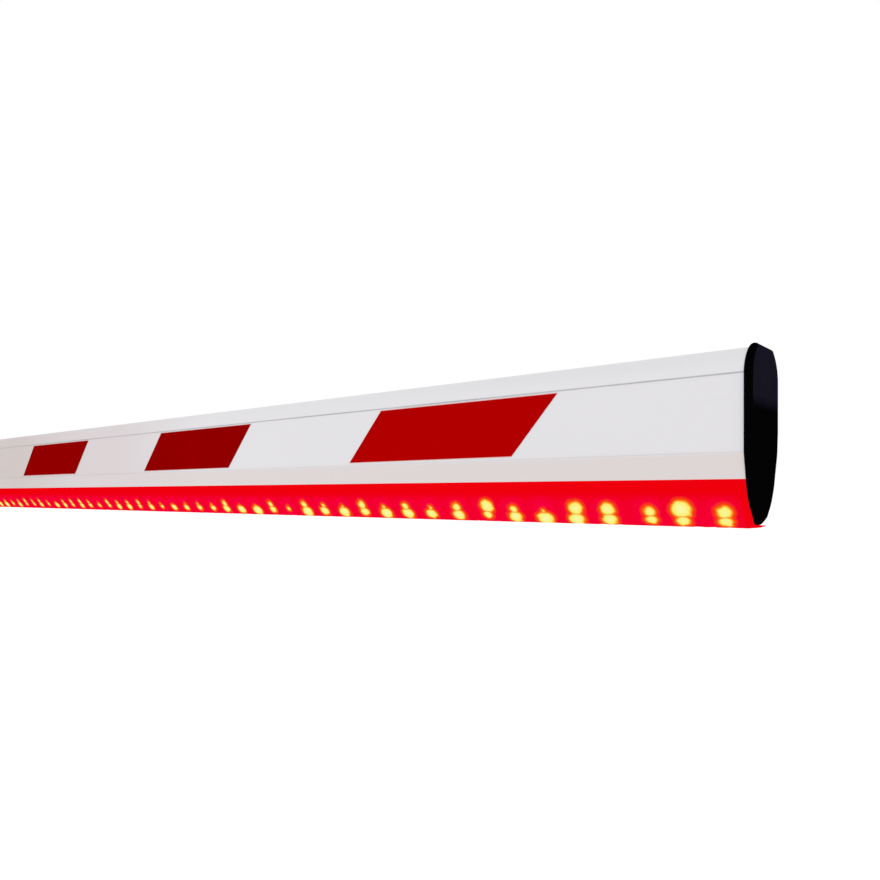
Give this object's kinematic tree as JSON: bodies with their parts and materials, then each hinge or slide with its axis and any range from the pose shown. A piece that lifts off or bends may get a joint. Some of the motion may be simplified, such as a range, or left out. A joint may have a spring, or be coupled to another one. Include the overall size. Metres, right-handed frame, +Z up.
{
  "type": "parking barrier gate",
  "caption": "Parking barrier gate: steel cabinet with worm gear drive, linkage and a white aluminium boom with red reflective bands, a red lit lens strip and a black end cap.",
  "frame": {"origin": "centre of the four anchor bolt holes, on the underside of the base plate", "axes": "+Z up, +X along the lowered boom towards its tip, -Y towards the boom side, +Y towards the door"},
  "size_m": [3.035, 0.414, 0.975],
  "materials": {
    "white_powder_coat": "satin",
    "boom_end_plastic": "satin",
    "red_lens": "gloss",
    "circuit_board": "satin",
    "led_emitter": "gloss",
    "red_reflective_film": "gloss",
    "cabinet_coat": "satin",
    "trim_coat": "satin",
    "zinc_plate": "satin",
    "plated_fasteners": "satin",
    "stainless": "brushed",
    "machined_steel": "machined",
    "painted_cast_iron": "satin",
    "gearbox_alloy": "matte",
    "clamp_alloy": "satin",
    "motor_coat": "satin",
    "black_plastic": "matte",
    "rubber": "matte",
    "grey_plastic": "satin",
    "power_supply_metal": "satin",
    "nickel_lock": "gloss"
  },
  "bodies": {
    "cabinet": {"control_board": "circuit_board", "cabinet_shell": "cabinet_coat", "cabinet_lid": "trim_coat", "base_plate": "trim_coat", "shaft_escutcheon": "trim_coat", "chassis_plate": "zinc_plate", "chassis_foot": "zinc_plate", "bearing_bridge": "zinc_plate", "stop_studs": "zinc_plate", "chassis_bolts": "plated_fasteners", "lid_screws": "plated_fasteners", "bridge_tie_bars": "plated_fasteners", "hinge_fixed_leaves": "stainless", "front_bearing_housing": "painted_cast_iron", "rear_bearing_housing": "painted_cast_iron", "gearbox_housing": "gearbox_alloy", "gearbox_cover": "gearbox_alloy", "motor_housing": "motor_coat", "motor_end_bell": "motor_coat", "motor_terminal_box": "black_plastic", "lid_gasket": "rubber", "door_gasket": "rubber", "stop_buffers": "rubber", "control_box": "grey_plastic", "control_cover": "grey_plastic", "power_supply": "power_supply_metal"},
    "door": {"door_panel": "cabinet_coat", "door_stiffeners": "zinc_plate", "hinge_moving_leaves": "stainless", "hinge_pins": "stainless", "lock_barrel": "nickel_lock"},
    "lock": {"lock_rotor": "nickel_lock", "lock_cam": "stainless"},
    "boom": {"main_shaft": "machined_steel", "drive_lever": "painted_cast_iron", "lever_pin": "machined_steel", "clamp_back_half": "clamp_alloy", "clamp_front_half": "clamp_alloy", "clamp_bolts": "plated_fasteners", "flange_bolts": "plated_fasteners", "boom_extrusion": "white_powder_coat", "led_lens": "red_lens", "led_strip": "circuit_board", "led_chips": "led_emitter", "end_cap": "boom_end_plastic", "tail_cap": "boom_end_plastic", "reflectors_front": "red_reflective_film", "reflectors_rear": "red_reflective_film"},
    "crank": {"output_shaft": "machined_steel", "crank_arm": "painted_cast_iron", "crank_pin": "machined_steel"},
    "rod": {"connecting_rod": "machined_steel", "rod_ends": "machined_steel"}
  },
  "joints": [
    {"name": "boom_swing", "type": "hinge", "parent": "cabinet", "child": "boom", "pos_m": [0, -0.106, 0.83], "axis": [0, -1, 0], "range_deg": [0, 90]},
    {"name": "crank_turn", "type": "hinge", "parent": "cabinet", "child": "crank", "pos_m": [0, -0.05, 0.48], "axis": [0, -1, 0], "range_deg": [0, 90]},
    {"name": "rod_swing", "type": "hinge", "parent": "crank", "child": "rod", "pos_m": [-0.06364, 0.045, 0.54364], "axis": [0, -1, 0], "range_deg": [-90, 0]},
    {"name": "door_hinge", "type": "hinge", "parent": "cabinet", "child": "door", "pos_m": [-0.128, 0.156, 0.47], "axis": [0, 0, 1], "range_deg": [0, 110]},
    {"name": "lock_turn", "type": "hinge", "parent": "door", "child": "lock", "pos_m": [0.113, 0.15, 0.47], "axis": [0, -1, 0], "range_deg": [0, 90]}
  ],
  "couplings": [
    {"joint": "crank_turn", "follows": "boom_swing", "ratio": 1},
    {"joint": "rod_swing", "follows": "boom_swing", "ratio": -1}
  ]
}
